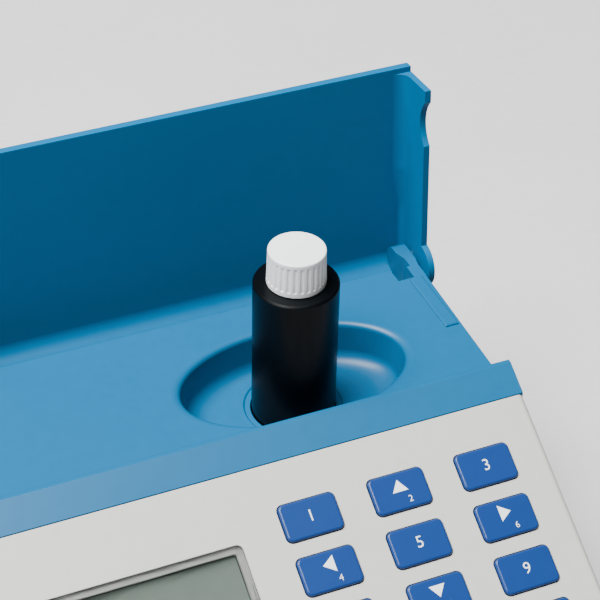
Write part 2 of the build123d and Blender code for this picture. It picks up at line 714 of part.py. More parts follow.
def lid():
    """Blue lid: panel, rolled back edge, skirts, ears and notches, standing open."""
    inner_z = PIVOT_Z + LID_INNER
    front = PIVOT_Y - LID_REACH
    panel = block(-HALF_W, HALF_W, front, PIVOT_Y, inner_z, inner_z + LID_T)
    rims = panel.faces().sort_by(Axis.Z)[-1].edges()
    panel = fillet(rims.filter_by(lambda e: e.center().Y < PIVOT_Y - 0.1), LID_EDGE_R)
    roll = Pos(PIVOT_Y, PIVOT_Z) * (Circle(LID_INNER + LID_T) - Circle(LID_INNER))
    reach = LID_INNER + LID_T
    quarter = Pos(PIVOT_Y + reach / 2, PIVOT_Z + reach / 2) * Rectangle(reach, reach)
    roll = Pos(-SKIRT_INNER, 0, 0) * extrude(Plane.YZ * (roll & quarter), amount=2 * SKIRT_INNER)
    shell = panel + roll
    for side in (-1, 1):
        shell += lid_skirt(side)
        shell += lid_cove(side)
    across = Pos(-WIDTH, PIVOT_Y, PIVOT_Z) * Rot(0, 90, 0)
    shell -= across * Cylinder(PIN_R, 2 * WIDTH, align=BOTTOM)
    return opened(shell)


def lid_pins():
    """Two hinge pins, held in the lid's ears and turning in the deck's arms."""
    start = ARM_X + PIN_SKIN + PIN_CLEARANCE
    pin = Pos(start, PIVOT_Y, PIVOT_Z) * Rot(0, 90, 0) * Cylinder(PIN_R, HALF_W - start, align=BOTTOM)
    return pin + mirror(pin, about=Plane.YZ)


def key_cap(u, v):
    """One key: rounded pad with a flange that holds it under the panel."""
    pad = extrude(RectangleRounded(KEY_W, KEY_H, KEY_R), amount=KEY_PROUD + FLANGE_BOTTOM)
    pad = fillet(pad.faces().sort_by(Axis.Z)[-1].edges(), KEY_EDGE_R)
    pad = SLOPE * Pos(u, -v, -FLANGE_BOTTOM) * pad
    return pad + slab(
        u, v, KEY_W + 2 * KEY_FLANGE, KEY_H + 2 * KEY_FLANGE, FLANGE_TOP, FLANGE_BOTTOM, KEY_R
    )


def keypad_mat():
    """Silicone mat with a low dome under each key."""
    mat = keypad_plate(MAT_MARGIN, MAT_TOP, BOARD_TOP)
    for u, v in KEY_PLACES + FUNCTION_PLACES:
        mat += SLOPE * Pos(u, -v, -MAT_TOP) * Cone(DOME_R, DOME_TOP_R, DOME_H, align=BOTTOM)
    for u, v in KEYPAD_SCREWS:
        mat -= stud(u, v, BOARD_POST_R + SCREW_PASS, 0, BOARD_TOP + 1)
    return mat


def keypad_board():
    """Circuit board that the mat lies on."""
    board = keypad_plate(MAT_MARGIN, BOARD_TOP, BOARD_TOP + BOARD_T)
    for u, v in KEYPAD_SCREWS:
        board -= stud(u, v, SCREW_R, 0, BOARD_TOP + BOARD_T + 1)
    return board


def slope_screws(places, seat):
    """Pan-head screws driven up into the posts under the panel."""
    return joined(
        stud(u, v, SCREW_R, seat - PANEL_SCREW_LEN, seat)
        + stud(u, v, SCREW_HEAD_R, seat, seat + SCREW_HEAD_T)
        for u, v in places
    )


def display_window():
    """Clear window in the panel."""
    return slab(
        DISPLAY_X, DISPLAY_V, WINDOW_W - WINDOW_FIT, WINDOW_H - WINDOW_FIT,
        WINDOW_SINK, WINDOW_SINK + WINDOW_T, 2.0,
    )


def display_gasket():
    """Foam frame between the panel and the display glass."""
    outer = slab(DISPLAY_X, DISPLAY_V, WINDOW_W, WINDOW_H, PANEL_T, GLASS_TOP)
    inner = slab(
        DISPLAY_X, DISPLAY_V, WINDOW_W - 2 * WINDOW_LEDGE, WINDOW_H - 2 * WINDOW_LEDGE, 0, GLASS_TOP + 1
    )
    return outer - inner


def display_module():
    """Display glass."""
    return slab(DISPLAY_X, DISPLAY_V, WINDOW_W, WINDOW_H, GLASS_TOP, LIGHT_TOP)


def backlight():
    """Light plate behind the display glass."""
    return slab(DISPLAY_X, DISPLAY_V, WINDOW_W, WINDOW_H, LIGHT_TOP, DISPLAY_BOARD_TOP)


def display_board():
    """Board that carries the display."""
    board = slab(
        DISPLAY_X, DISPLAY_V, DISPLAY_BOARD_W, DISPLAY_BOARD_H,
        DISPLAY_BOARD_TOP, DISPLAY_BOARD_TOP + BOARD_T,
    )
    for u, v in DISPLAY_SCREWS:
        board -= stud(u, v, SCREW_R, 0, DISPLAY_BOARD_TOP + BOARD_T + 1)
    return board


def main_board():
    """Main circuit board with its larger chips."""
    top = MAIN_BOARD_Z + BOARD_T
    half = MAIN_BOARD_W / 2
    board = block(
        MAIN_BOARD_X - half, MAIN_BOARD_X + half, MAIN_BOARD_FRONT_Y, MAIN_BOARD_BACK_Y, MAIN_BOARD_Z, top
    )
    for x, y in MAIN_SCREWS:
        board -= upright(x, y, SCREW_R, 0, top + 1)
    for x, y, w, d in CHIPS:
        board += Pos(MAIN_BOARD_X + x, MAIN_BOARD_Y + y, top) * Box(w, d, CHIP_H, align=BOTTOM)
    return board


def flat_screws(places, seat, length):
    """Pan-head screws driven down from a seat."""
    return joined(
        upright(x, y, SCREW_R, seat - length, seat) + upright(x, y, SCREW_HEAD_R, seat, seat + SCREW_HEAD_T)
        for x, y in places
    )


def deck_screws():
    """Screws driven up through the ledge into the deck's posts."""
    seat = DECK_SCREW_SEAT
    return joined(
        upright(x, y, SCREW_R, seat, seat + DECK_SCREW_LEN)
        + upright(x, y, SCREW_HEAD_R, seat - SCREW_HEAD_T, seat)
        for x, y in DECK_SCREWS
    )


def housing_screws():
    """Four case screws, driven up from the underside."""
    seat = CASE_SCREW_SEAT
    return joined(
        upright(x, y, CASE_SCREW_R, seat, seat + CASE_SCREW_LEN)
        + upright(x, y, CASE_HEAD_R, seat - CASE_HEAD_T, seat)
        for x, y in CASE_SCREWS
    )


def rubber_feet():
    """Four round feet."""
    foot = Cylinder(FOOT_R, FOOT_H, align=BOTTOM)
    foot = chamfer(foot.faces().sort_by(Axis.Z)[0].edges(), FOOT_CHAMFER)
    places = corners(HALF_W - FOOT_INSET, DEPTH / 2 - FOOT_INSET, 0, MIDDLE_Y)
    return joined(Pos(x, y, 0) * foot for x, y in places)


def beam(angle, start, length, r):
    """Cylinder along one light path, from a distance off the bore's axis outwards."""
    return BORE * Pos(0, 0, BEAM_Z) * Rot(0, 0, angle) * Pos(start, 0, 0) * Rot(0, 90, 0) * Cylinder(
        r, length, align=BOTTOM
    )


def channel_angles(offset):
    """Angles of the channels on one side of the bore."""
    return [offset + 180.0 / CHANNELS * i for i in range(CHANNELS)]


def optics_layer(low, high):
    """One layer of the black optical block, with its four screw holes."""
    body = upright(BORE_X, BORE_Y, BLOCK_R, low, high)
    for x, y in PILLARS:
        body -= upright(x, y, SCREW_R + SCREW_PASS, low - 1, high + 1)
    return body


def optical_base():
    """Lowest layer, with the floor of the measuring bore."""
    body = optics_layer(BLOCK_BOTTOM_Z, RING_LOW_Z)
    rim = body.faces().sort_by(Axis.Z)[0].edges().sort_by(SortBy.LENGTH)[-1]
    body = chamfer(rim, BLOCK_CHAMFER)
    return body - upright(BORE_X, BORE_Y, BORE_R, ADAPTER_BOTTOM_Z - SEAT_GAP, RING_LOW_Z + 1)


def optical_ring():
    """Middle layer, with the light paths that cross the bore."""
    body = optics_layer(RING_LOW_Z, RING_HIGH_Z)
    body -= upright(BORE_X, BORE_Y, BORE_R, RING_LOW_Z - 1, RING_HIGH_Z + 1)
    for angle in channel_angles(LED_SIDE_DEG) + channel_angles(DETECTOR_SIDE_DEG):
        body -= beam(angle, 0, BLOCK_R + 1, BEAM_R)
    return body


def optical_collar():
    """Top layer, with sunk seats for the screw heads."""
    body = optics_layer(RING_HIGH_Z, BLOCK_TOP_Z)
    rim = body.faces().sort_by(Axis.Z)[-1].edges().sort_by(SortBy.LENGTH)[-1]
    body = chamfer(rim, BLOCK_CHAMFER)
    for x, y in PILLARS:
        body -= upright(x, y, SCREW_HEAD_R + SCREW_PASS, OPTICS_SCREW_SEAT, BLOCK_TOP_Z + 1)
    return body - upright(BORE_X, BORE_Y, BORE_R, RING_HIGH_Z - 1, BLOCK_TOP_Z + 1)


def bore_seal():
    """Foam ring between the optical block and the recess floor."""
    outer = upright(BORE_X, BORE_Y, MOUTH_R + SEAL_W, BLOCK_TOP_Z, RECESS_FLOOR_Z - WALL)
    return outer - upright(BORE_X, BORE_Y, MOUTH_R, 0, DECK_Z)


def lenses():
    """One small lens for each channel, by the bore."""
    angles = channel_angles(LED_SIDE_DEG)
    return joined(beam(a, LENS_START, LENS_T, BEAM_R - OPTIC_CLEARANCE) for a in angles)


def filters():
    """One interference filter for each channel."""
    angles = channel_angles(LED_SIDE_DEG)
    return joined(beam(a, FILTER_START, FILTER_T, BEAM_R - OPTIC_CLEARANCE) for a in angles)


def leds():
    """Light-emitting diodes at the outer ends of the light paths."""
    r = BEAM_R - OPTIC_CLEARANCE
    body = Cylinder(r, LED_LEN, align=BOTTOM)
    body = fillet(body.faces().sort_by(Axis.Z)[0].edges(), LED_NOSE_R)
    path = BORE * Pos(0, 0, BEAM_Z)
    return joined(
        path * Rot(0, 0, a) * Pos(LED_START, 0, 0) * Rot(0, 90, 0) * body
        for a in channel_angles(LED_SIDE_DEG)
    )


def photodetectors():
    """One detector across the bore from each light-emitting diode."""
    return joined(
        beam(a, DETECTOR_START, DETECTOR_T, BEAM_R - OPTIC_CLEARANCE)
        for a in channel_angles(DETECTOR_SIDE_DEG)
    )


def vial_adapter():
    """Black sleeve that carries the vial in the measuring bore."""
    sleeve = upright(BORE_X, BORE_Y, ADAPTER_R, ADAPTER_BOTTOM_Z, ADAPTER_TOP_Z)
    sleeve = chamfer(sleeve.edges().filter_by(GeomType.CIRCLE), ADAPTER_CHAMFER)
    inner = VIAL_R + VIAL_CLEARANCE
    sleeve -= upright(BORE_X, BORE_Y, inner, ADAPTER_BOTTOM_Z + ADAPTER_FLOOR, ADAPTER_TOP_Z + 1)
    for angle in channel_angles(LED_SIDE_DEG) + channel_angles(DETECTOR_SIDE_DEG):
        sleeve -= beam(angle, 0, 2 * ADAPTER_R, BEAM_WINDOW_R)
    return sleeve


def vial():
    """Glass vial with a round bottom edge, a shoulder and a neck."""
    base = ADAPTER_BOTTOM_Z + ADAPTER_FLOOR + SEAT_GAP
    shoulder = NECK_Z - SHOULDER_RISE
    outer = upright(0, 0, VIAL_R, base, shoulder)
    outer = fillet(outer.faces().sort_by(Axis.Z)[0].edges(), VIAL_FOOT_R)
    outer += Pos(0, 0, shoulder) * Cone(VIAL_R, NECK_R, SHOULDER_RISE, align=BOTTOM)
    outer += upright(0, 0, NECK_R, NECK_Z, MOUTH_Z)
    inner_shoulder = shoulder - VIAL_FLOOR_T
    inner = upright(0, 0, VIAL_R - VIAL_WALL, base + VIAL_FLOOR_T, inner_shoulder)
    inner = fillet(inner.faces().sort_by(Axis.Z)[0].edges(), VIAL_FOOT_R - VIAL_WALL)
    inner += Pos(0, 0, inner_shoulder) * Cone(VIAL_R - VIAL_WALL, NECK_BORE_R, VIAL_FLOOR_T, align=BOTTOM)
    inner += upright(0, 0, NECK_BORE_R, shoulder, MOUTH_Z + 1)
    return BORE * (outer - inner)


def cap_liner():
    """Soft disc in the cap, on the mouth of the vial."""
    return upright(BORE_X, BORE_Y, NECK_R - LINER_CLEARANCE, MOUTH_Z, MOUTH_Z + LINER_T)


def vial_cap():
    """White screw cap: fine upright flutes between a plain top edge and a plain collar."""
    low = ADAPTER_TOP_Z + CAP_LIFT_OFF_RIM
    high = MOUTH_Z + LINER_T + CAP_TOP_T
    shell = Pos(0, 0, low) * Cone(CAP_R_BOTTOM, CAP_R_TOP, high - low, align=BOTTOM)
    shell = fillet(shell.faces().sort_by(Axis.Z)[-1].edges(), CAP_EDGE_R)
    taper = math.degrees(math.atan((CAP_R_BOTTOM - CAP_R_TOP) / (high - low)))
    flute_len = high - low - CAP_COLLAR - CAP_PLAIN_TOP
    flute_x = CAP_R_BOTTOM - FLUTE_DEPTH + FLUTE_R
    flute = Rot(0, -taper, 0) * Cylinder(FLUTE_R, flute_len, align=BOTTOM)
    flute = Pos(flute_x, 0, low + CAP_COLLAR) * flute
    shell -= [Rot(0, 0, 360.0 * i / CAP_FLUTES) * flute for i in range(CAP_FLUTES)]
    shell -= upright(0, 0, NECK_R + THREAD_CLEARANCE, low - 1, MOUTH_Z + LINER_T)
    return BORE * shell


def usb_host_port():
    """Socket for a full-size serial plug, with its tongue."""
    low = MAIN_BOARD_Z + BOARD_T
    body = block(USB_X - USB_W / 2, USB_X + USB_W / 2, BACK_Y - USB_LEN, BACK_Y, low, low + USB_H)
    body -= block(
        USB_X - USB_W / 2 + USB_SKIN, USB_X + USB_W / 2 - USB_SKIN, BACK_Y - USB_LEN + SOCKET_END_T,
        BACK_Y + 1, low + USB_SKIN, low + USB_H - USB_SKIN,
    )
    tongue = Box(USB_TONGUE_W, USB_LEN - USB_TONGUE_SINK, USB_TONGUE_T, align=TONGUE_ALIGN)
    return body + Pos(USB_X, BACK_Y - USB_LEN, low + USB_H / 2 + USB_TONGUE_RISE) * tongue


def micro_usb_port():
    """Small socket for power and data."""
    low = MAIN_BOARD_Z + BOARD_T
    left = MICRO_X - MICRO_W / 2
    body = block(left, left + MICRO_W, BACK_Y - MICRO_LEN, BACK_Y, low, low + MICRO_H)
    body -= block(
        MICRO_X - MICRO_W / 2 + MICRO_SKIN, MICRO_X + MICRO_W / 2 - MICRO_SKIN,
        BACK_Y - MICRO_LEN + SOCKET_END_T, BACK_Y + 1, low + MICRO_SKIN, low + MICRO_H - MICRO_SKIN,
    )
    length = MICRO_LEN - MICRO_TONGUE_SINK
    tongue = Box(MICRO_TONGUE_W, length, MICRO_TONGUE_T, align=TONGUE_ALIGN)
    return body + Pos(MICRO_X, BACK_Y - MICRO_LEN, low + MICRO_H / 2) * tongue


def probe_jack():
    """Round socket for a 3.5 mm probe plug."""
    low = MAIN_BOARD_Z + BOARD_T
    rear = BACK_Y - JACK_LEN
    along_y = Rot(-90, 0, 0)
    body = block(JACK_X - JACK_R, JACK_X + JACK_R, rear, BACK_Y - WALL - 1, low, JACK_Z + JACK_R)
    body += Pos(JACK_X, rear, JACK_Z) * along_y * Cylinder(JACK_R, JACK_LEN, align=BOTTOM)
    bore = Cylinder(JACK_BORE_R, JACK_LEN, align=BOTTOM)
    body -= Pos(JACK_X, rear + SOCKET_END_T, JACK_Z) * along_y * bore
    return body


def power_button():
    """Round push button in the back wall."""
    along_y = Rot(-90, 0, 0)
    inner_face = BACK_Y - WALL
    start = BACK_Y - WALL - SEAT_GAP - SWITCH_FLANGE_T
    button = Cylinder(SWITCH_R, BACK_Y + SWITCH_PROUD - start, align=BOTTOM)
    button = fillet(button.faces().sort_by(Axis.Z)[-1].edges(), SWITCH_EDGE_R)
    button += Cylinder(SWITCH_R + SWITCH_FLANGE_W, SWITCH_FLANGE_T, align=BOTTOM)
    return Pos(SWITCH_X, start, SWITCH_Z) * along_y * button


def switch_module():
    """Switch body behind the button, on its own small bracket board."""
    face = BACK_Y - WALL - 2 * SEAT_GAP - SWITCH_FLANGE_T - SWITCH_TRAVEL
    seat = face - SWITCH_BODY_D
    half = SWITCH_BOARD_W / 2
    board = block(
        SWITCH_X - half, SWITCH_X + half, seat - BOARD_T, seat, FLOOR_TOP, SWITCH_Z + SWITCH_BOARD_RISE
    )
    middle = (seat + face) / 2
    return board + Pos(SWITCH_X, middle, SWITCH_Z) * Box(SWITCH_BODY_W, SWITCH_BODY_D, SWITCH_BODY_W)


def battery_pad():
    """Adhesive foam under the battery pack."""
    return block(
        BATTERY_X - BATTERY_W / 2, BATTERY_X + BATTERY_W / 2, BATTERY_Y - BATTERY_D / 2,
        BATTERY_Y + BATTERY_D / 2, FLOOR_TOP, FLOOR_TOP + PAD_T,
    )


def battery_pack():
    """Flat rechargeable pack with rounded edges."""
    low = FLOOR_TOP + PAD_T
    plan = Pos(BATTERY_X, BATTERY_Y, low) * RectangleRounded(BATTERY_W, BATTERY_D, BATTERY_CORNER_R)
    pack = extrude(plan, amount=BATTERY_H)
    return fillet(pack.faces().sort_by(Axis.Z)[-1].edges(), BATTERY_EDGE_R)


def sounder():
    """Small round sounder on the main board."""
    top = MAIN_BOARD_Z + BOARD_T
    x = MAIN_BOARD_X + SOUNDER_X
    can = upright(x, SOUNDER_Y, SOUNDER_R, top, top + SOUNDER_H)
    return can - upright(x, SOUNDER_Y, SOUNDER_HOLE_R, top + SOUNDER_H / 2, top + SOUNDER_H + 1)


def ribbon(points, plane, width):
    """Flat cable along a bent path in a plane."""
    path = trace(FilletPolyline(*points, radius=RIBBON_BEND_R), line_width=FLEX_T)
    return extrude(plane * path, amount=width)


def keypad_flex():
    """Flat cable from the keypad board down to the main board."""
    top = MAIN_BOARD_Z + BOARD_T + FLEX_T / 2
    depth = BOARD_TOP + BOARD_T + FLEX_T / 2
    start_y = FACET_TOP_Y - FUNCTION_V * COS + depth * SIN
    start_z = FACET_TOP_Z - FUNCTION_V * SIN - depth * COS
    end_y = MAIN_BOARD_FRONT_Y + 1.5 * FLEX_LAP
    points = [
        (start_y, start_z), (start_y + FLEX_LAP * COS, start_z + FLEX_LAP * SIN),
        (end_y - FLEX_LAP, top + 3 * RIBBON_BEND_R), (end_y - 3 * RIBBON_BEND_R, top), (end_y, top),
    ]
    return Pos(FUNCTION_X - FLEX_W / 2, 0, 0) * ribbon(points, Plane.YZ, FLEX_W)


def optics_ribbon():
    """Flat cable from the optical block to the main board."""
    top = MAIN_BOARD_Z + BOARD_T + FLEX_T / 2
    turn = 3 * RIBBON_BEND_R
    end_x = MAIN_BOARD_X + MAIN_BOARD_W / 2 - RIBBON_LAP
    block_x = BORE_X - BLOCK_R - FLEX_T / 2
    points = [(block_x, BEAM_Z - RIBBON_LAP), (block_x, top + turn), (block_x - turn, top), (end_x, top)]
    return Pos(0, BORE_Y + RIBBON_W / 2, 0) * ribbon(points, Plane.XZ, RIBBON_W)


os.makedirs("parts", exist_ok=True)

NODES = {
    "bottom_housing": bottom_housing(),
    "upper_housing": upper_housing(),
    "deck": deck(),
    "lid": lid(),
    "lid_pins": lid_pins(),
    "display_window": display_window(),
    "display_gasket": display_gasket(),
    "display_module": display_module(),
    "backlight": backlight(),
    "display_board": display_board(),
    "keypad_mat": keypad_mat(),
    "keypad_board": keypad_board(),
    "keypad_screws": slope_screws(KEYPAD_SCREWS, BOARD_TOP + BOARD_T),
    "display_screws": slope_screws(DISPLAY_SCREWS, DISPLAY_BOARD_TOP + BOARD_T),
    "main_board": main_board(),
    "board_screws": flat_screws(MAIN_SCREWS, MAIN_BOARD_Z + BOARD_T, BOARD_SCREW_LEN),
    "optical_base": optical_base(),
    "optical_ring": optical_ring(),
    "optical_collar": optical_collar(),
    "optics_screws": flat_screws(PILLARS, OPTICS_SCREW_SEAT, OPTICS_SCREW_LEN),
    "bore_seal": bore_seal(),
    "lenses": lenses(),
    "filters": filters(),
    "leds": leds(),
    "photodetectors": photodetectors(),
    "vial_adapter": vial_adapter(),
    "vial": vial(),
    "cap_liner": cap_liner(),
    "vial_cap": vial_cap(),
    "usb_host_port": usb_host_port(),
    "micro_usb_port": micro_usb_port(),
    "probe_jack": probe_jack(),
    "power_button": power_button(),
    "switch_module": switch_module(),
    "battery_pad": battery_pad(),
    "battery_pack": battery_pack(),
    "sounder": sounder(),
    "keypad_flex": keypad_flex(),
    "optics_ribbon": optics_ribbon(),
    "housing_screws": housing_screws(),
    "deck_screws": deck_screws(),
    "rubber_feet": rubber_feet(),
}
for number, (u, v) in enumerate(KEY_PLACES, start=1):
    NODES[f"key_{number}"] = key_cap(u, v)
for number, (u, v) in enumerate(FUNCTION_PLACES, start=1):
    NODES[f"function_key_{number}"] = key_cap(u, v)

for name, shape in NODES.items():
    export_step(shape, f"parts/{name}.step")
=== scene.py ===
import json
import math

import bmesh
import bpy
from mathutils import Matrix, Vector


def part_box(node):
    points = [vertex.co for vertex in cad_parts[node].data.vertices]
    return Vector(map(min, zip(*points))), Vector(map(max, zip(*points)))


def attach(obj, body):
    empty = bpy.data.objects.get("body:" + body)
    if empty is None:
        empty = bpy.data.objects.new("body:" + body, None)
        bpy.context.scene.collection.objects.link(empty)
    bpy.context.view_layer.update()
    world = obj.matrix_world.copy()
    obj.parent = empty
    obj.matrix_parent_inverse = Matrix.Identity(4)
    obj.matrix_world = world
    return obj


# Looks of the bench photometer, in metres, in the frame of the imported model.

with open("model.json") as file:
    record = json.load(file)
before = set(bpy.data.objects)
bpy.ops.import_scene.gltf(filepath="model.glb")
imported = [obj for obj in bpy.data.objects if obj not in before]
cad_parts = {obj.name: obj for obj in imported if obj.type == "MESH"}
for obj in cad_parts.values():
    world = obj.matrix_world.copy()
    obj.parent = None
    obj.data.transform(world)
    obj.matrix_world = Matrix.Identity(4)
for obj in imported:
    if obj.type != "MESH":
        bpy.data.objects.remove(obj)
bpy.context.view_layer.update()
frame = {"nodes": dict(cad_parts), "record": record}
MM = 0.001

# The camera of the photograph: where it stands, where it looks and its lens
CAMERA_PLACE = Vector((-154.2, -365.7, 468.3)) * MM
CAMERA_AZIMUTH = math.radians(-24.227)
CAMERA_ELEVATION = math.radians(38.013)
CAMERA_ROLL = math.radians(1.468)
CAMERA_LENS = 118.62
CAMERA_SENSOR = 36.0
CAMERA_NEAR = 0.01

# The sloping panel: its top edge and its slope, and how far the keys stand above it
SLOPE = math.radians(30.0)
SLOPE_TOP = Vector((0.0, 20.3, 94.0)) * MM
KEY_PROUD = 1.0 * MM
PRINT_LIFT = 0.02 * MM
PRINT_DEPTH = 0.03 * MM

# Surface detail: noise scales per metre, rounding radii, and the shares that the masks take
EDGE_RADIUS = 0.3 * MM
WEAR_RADIUS = 0.35 * MM
BEVEL_SAMPLES = 4
BUMP_DISTANCE = 0.1 * MM
GLOSS_CLOUDS = 60.0
DUST_CLOUDS = 35.0
DUST_SPECKS = 900.0
DUST_THRESHOLD = 0.18
DUST_TINT = (0.55, 0.56, 0.56, 1.0)
DRIFT_CLOUDS = 22.0
DRIFT_STREAKS = 260.0
WEAR_RUBS = 180.0
WEAR_SHARPNESS = 3.0
DEEPER_SHADE = 0.82
PALER_SHADE = 1.25
PALER_LIFT = 0.01
PLASTIC_IOR = 1.5
CLEAR_GRAIN = 300.0
CLEAR_SPREAD = 0.02
METAL_GRAIN = 4000.0
METAL_SPREAD = 0.15


# Shader building
def new_group(name, inputs, outputs):
    """Shader node group with named number inputs and outputs."""
    group = bpy.data.node_groups.new(name, "ShaderNodeTree")
    for label, value in inputs:
        socket = group.interface.new_socket(label, in_out="INPUT", socket_type="NodeSocketFloat")
        socket.default_value = value
    for label in outputs:
        group.interface.new_socket(label, in_out="OUTPUT", socket_type="NodeSocketFloat")
    return group, group.nodes.new("NodeGroupInput"), group.nodes.new("NodeGroupOutput")


def math_node(tree, operation, first, second):
    """Maths node whose two inputs are numbers or sockets."""
    node = tree.nodes.new("ShaderNodeMath")
    node.operation = operation
    for socket, value in zip(node.inputs, (first, second)):
        if isinstance(value, (int, float)):
            socket.default_value = value
        else:
            tree.links.new(value, socket)
    return node.outputs[0]


def noise_node(tree, place, scale, detail):
    """Noise at a scale that is a number or a socket."""
    node = tree.nodes.new("ShaderNodeTexNoise")
    node.inputs["Detail"].default_value = detail
    if isinstance(scale, (int, float)):
        node.inputs["Scale"].default_value = scale
    else:
        tree.links.new(scale, node.inputs["Scale"])
    tree.links.new(place, node.inputs["Vector"])
    return node.outputs["Fac"]


def make_moulding_grain():
    """Fine grain of moulded plastic: a height for the bump and an uneven gloss."""
    group, given, out = new_group(
        "moulding grain",
        [("Grain per metre", 2500.0), ("Gloss", 0.35), ("Gloss spread", 0.06)],
        ["Height", "Roughness"],
    )
    place = group.nodes.new("ShaderNodeTexCoord").outputs["Object"]
    fine = noise_node(group, place, given.outputs["Grain per metre"], 3.0)
    broad = noise_node(group, place, GLOSS_CLOUDS, 2.0)
    centred = math_node(group, "SUBTRACT", broad, 0.5)
    spread = math_node(group, "MULTIPLY", centred, given.outputs["Gloss spread"])
    rough = math_node(group, "ADD", given.outputs["Gloss"], spread)
    group.links.new(fine, out.inputs["Height"])
    group.links.new(rough, out.inputs["Roughness"])
    return group


def make_dust():
    """Sparse settled dust and rub marks, strongest where faces look up."""
    # group, given, out = new_group("settled dust", [("Amount", 0.1)], ["Mask"])
    group, given, out = new_group("settled dust", [("Amount", 0.1)], ["Mask"])
    place = group.nodes.new("ShaderNodeTexCoord").outputs["Object"]
    facing = group.nodes.new("ShaderNodeNewGeometry").outputs["Normal"]
    split = group.nodes.new("ShaderNodeSeparateXYZ")
    group.links.new(facing, split.inputs[0])
    upward = math_node(group, "MAXIMUM", split.outputs["Z"], 0.0)
    cloud = noise_node(group, place, DUST_CLOUDS, 6.0)
    speck = noise_node(group, place, DUST_SPECKS, 2.0)
    patch = math_node(group, "MULTIPLY", cloud, speck)
    patch = math_node(group, "SUBTRACT", patch, DUST_THRESHOLD)
    patch = math_node(group, "MAXIMUM", patch, 0.0)
    mask = math_node(group, "MULTIPLY", patch, upward)
    mask = math_node(group, "MULTIPLY", mask, given.outputs["Amount"])
    group.links.new(mask, out.inputs["Mask"])
    return group


def make_tone_drift():
    """Slow drift of shade across a moulding, as its colour and thickness vary."""
    group, given, out = new_group("tone drift", [("Spread", 0.2)], ["Mask"])
    place = group.nodes.new("ShaderNodeTexCoord").outputs["Object"]
    cloud = noise_node(group, place, DRIFT_CLOUDS, 4.0)
    streak = noise_node(group, place, DRIFT_STREAKS, 2.0)
    both = math_node(group, "MULTIPLY", cloud, streak)
    mask = math_node(group, "MULTIPLY", both, given.outputs["Spread"])
    group.links.new(mask, out.inputs["Mask"])
    return group


def make_edge_wear():
    """Thin worn line where an edge is rubbed: rounded and true normals differ there."""
    group, given, out = new_group("edge wear", [("Amount", 0.3)], ["Mask"])
    rounded = group.nodes.new("ShaderNodeBevel")
    rounded.samples = BEVEL_SAMPLES
    rounded.inputs["Radius"].default_value = WEAR_RADIUS
    true_normal = group.nodes.new("ShaderNodeNewGeometry").outputs["Normal"]
    dot = group.nodes.new("ShaderNodeVectorMath")
    dot.operation = "DOT_PRODUCT"
    group.links.new(rounded.outputs["Normal"], dot.inputs[0])
    group.links.new(true_normal, dot.inputs[1])
    turn = math_node(group, "SUBTRACT", 1.0, dot.outputs["Value"])
    turn = math_node(group, "MULTIPLY", turn, WEAR_SHARPNESS)
    turn = math_node(group, "MINIMUM", turn, 1.0)
    place = group.nodes.new("ShaderNodeTexCoord").outputs["Object"]
    rub = noise_node(group, place, WEAR_RUBS, 5.0)
    mask = math_node(group, "MULTIPLY", turn, rub)
    mask = math_node(group, "MULTIPLY", mask, given.outputs["Amount"])
    group.links.new(mask, out.inputs["Mask"])
    return group


GRAIN = make_moulding_grain()
DUST = make_dust()
DRIFT = make_tone_drift()
WEAR = make_edge_wear()


def use_group(tree, group, **values):
    """Place a node group in a material with its own values."""
    node = tree.nodes.new("ShaderNodeGroup")
    node.node_tree = group
    for label, value in values.items():
        node.inputs[label.replace("_", " ")].default_value = value
    return node


def blend_into(tree, before, tint, mask):
    """Mix a tint over a colour or a socket by a mask, and give the result's socket."""
    mix = tree.nodes.new("ShaderNodeMix")
    mix.data_type = "RGBA"
    if isinstance(before, tuple):
        mix.inputs["A"].default_value = before
    else:
        tree.links.new(before, mix.inputs["A"])
    mix.inputs["B"].default_value = tint
    tree.links.new(mask, mix.inputs["Factor"])
    return mix.outputs["Result"]


def moulded(name, colour, gloss, spread=0.06, grain=2500.0, bump=0.02, dust=0.1, wear=0.25, **extra):
    """Moulded plastic or rubber: grain, uneven gloss, drifting shade, worn edges and a little dust."""
    material = bpy.data.materials.new(name)
    material.use_nodes = True
    tree = material.node_tree
    shader = tree.nodes["Principled BSDF"]
    shader.inputs["IOR"].default_value = PLASTIC_IOR
    for label, value in extra.items():
        shader.inputs[label.replace("_", " ")].default_value = value
    skin = use_group(tree, GRAIN, Grain_per_metre=grain, Gloss=gloss, Gloss_spread=spread)
    tree.links.new(skin.outputs["Roughness"], shader.inputs["Roughness"])
    bumps = tree.nodes.new("ShaderNodeBump")
    bumps.inputs["Strength"].default_value = bump
    bumps.inputs["Distance"].default_value = BUMP_DISTANCE
    tree.links.new(skin.outputs["Height"], bumps.inputs["Height"])
    tree.links.new(bumps.outputs["Normal"], shader.inputs["Normal"])
    rounded = tree.nodes.new("ShaderNodeBevel")
    rounded.samples = BEVEL_SAMPLES
    rounded.inputs["Radius"].default_value = EDGE_RADIUS
    tree.links.new(rounded.outputs["Normal"], bumps.inputs["Normal"])
    deeper = tuple(DEEPER_SHADE * value for value in colour) + (1.0,)
    paler = tuple(min(1.0, PALER_SHADE * value + PALER_LIFT) for value in colour) + (1.0,)
    drift = use_group(tree, DRIFT, Spread=1.0)
    rubbed = use_group(tree, WEAR, Amount=wear)
    film = use_group(tree, DUST, Amount=dust)
    shade = blend_into(tree, (*colour, 1.0), deeper, drift.outputs["Mask"])
    shade = blend_into(tree, shade, paler, rubbed.outputs["Mask"])
    shade = blend_into(tree, shade, DUST_TINT, film.outputs["Mask"])
    tree.links.new(shade, shader.inputs["Base Color"])
    return material


